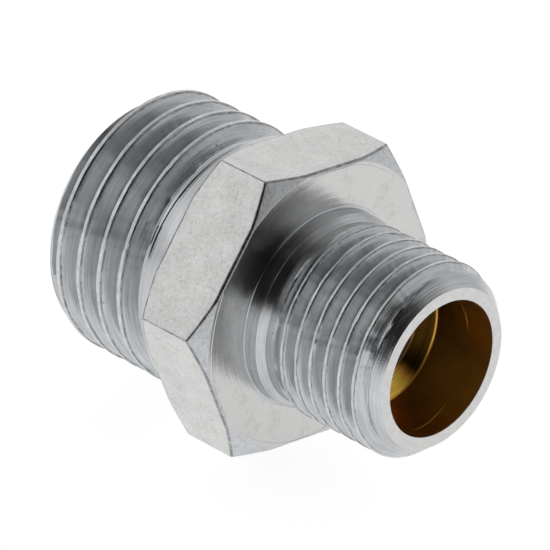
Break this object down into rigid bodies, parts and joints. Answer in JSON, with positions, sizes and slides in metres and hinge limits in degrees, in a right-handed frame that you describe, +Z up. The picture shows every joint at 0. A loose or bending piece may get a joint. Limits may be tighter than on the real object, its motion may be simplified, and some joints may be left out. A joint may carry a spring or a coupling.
{
  "type": "hex nipple",
  "caption": "Short reducing hex nipple with a male pipe thread on each side of a hexagon, and a stepped bore right through it.",
  "frame": {"origin": "on the bore axis, at the middle of the hexagon's width", "axes": "+X along the bore axis towards the small thread, +Z up and square to the hexagon flat that the fitting lies on"},
  "size_m": [0.0199, 0.0162, 0.014],
  "materials": {
    "bare_brass": "satin",
    "plated_metal": "satin"
  },
  "bodies": {
    "root": {"brass_body": "bare_brass", "plating": "plated_metal"}
  },
  "joints": []
}
